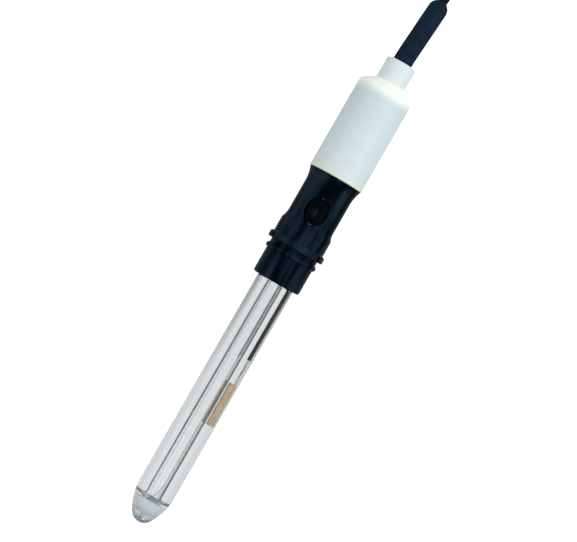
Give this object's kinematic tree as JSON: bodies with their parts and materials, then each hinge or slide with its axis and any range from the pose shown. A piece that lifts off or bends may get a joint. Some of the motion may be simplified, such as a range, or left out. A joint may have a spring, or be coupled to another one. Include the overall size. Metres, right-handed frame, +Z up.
{
  "type": "redox electrode",
  "caption": "Glass redox electrode with a platinum tip, a black head with a rubber filling stopper, a white cap and a cable with a coaxial plug.",
  "frame": {"origin": "centre of the electrode's footprint on the surface it lies on, the free cable left out", "axes": "+X along the electrode from its tip to its cable, +Z up, the filling stopper on top"},
  "size_m": [0.2909, 0.0274, 0.0202],
  "materials": {
    "clear_glass": "clear, fire-polished",
    "platinum": "satin",
    "white_ceramic": "porous, unglazed",
    "tan_filling": "dull, pressed silver chloride",
    "silver": "drawn wire",
    "black_sleeve": "heat-shrunk tube",
    "dark_resin": "cast",
    "head_plastic": "moulded, slightly glossy",
    "seal_rubber": "moulded",
    "cap_plastic": "moulded, satin",
    "boot_rubber": "moulded, satin",
    "cable_jacket": "extruded, satin",
    "white_insulation": "extruded",
    "copper": "drawn wire",
    "tinned_metal": "tinned",
    "tie_strap": "woven strap",
    "nickel": "nickel plated",
    "gold_pin": "gold plated"
  },
  "bodies": {
    "electrode": {"glass_body": "clear_glass", "platinum_tip": "platinum", "platinum_lead": "platinum", "ceramic_junction": "white_ceramic", "reference_cartridge": "tan_filling", "reference_wire": "silver", "reference_sleeve": "black_sleeve", "chamber_plug": "dark_resin", "inner_tube_plug": "dark_resin", "potting_ring": "dark_resin", "electrode_head": "head_plastic", "lower_seal_ring": "seal_rubber", "upper_seal_ring": "seal_rubber", "cap_seal_ring": "seal_rubber", "white_cap": "cap_plastic", "strain_relief_boot": "boot_rubber", "cable_inner_end": "cable_jacket", "cable_insulation": "white_insulation", "cable_core": "copper", "cable_clamp": "tinned_metal", "screen_tail": "copper", "centre_splice": "tinned_metal", "screen_splice": "tinned_metal", "cable_lead": "cable_jacket", "cable_hank": "cable_jacket", "hank_tie": "tie_strap", "cable_tail": "cable_jacket", "plug_boot": "seal_rubber", "crimp_ferrule": "nickel", "cable_plug_end": "cable_jacket", "plug_body": "nickel", "plug_insulator": "white_insulation", "plug_pin": "gold_pin", "plug_gasket": "seal_rubber", "spring_washer": "nickel"},
    "stopper": {"filling_stopper": "seal_rubber"},
    "plug_ring": {"coupling_ring": "nickel"}
  },
  "joints": [
    {"name": "stopper_pull", "type": "slide", "parent": "electrode", "child": "stopper", "axis": [-0.039, 0, 0.9992], "range_m": [0, 0.008]},
    {"name": "coupling_ring_turn", "type": "hinge", "parent": "electrode", "child": "plug_ring", "pos_m": [0.1925, -0.00585, 0.00725], "axis": [1, 0, 0], "continuous": true}
  ]
}
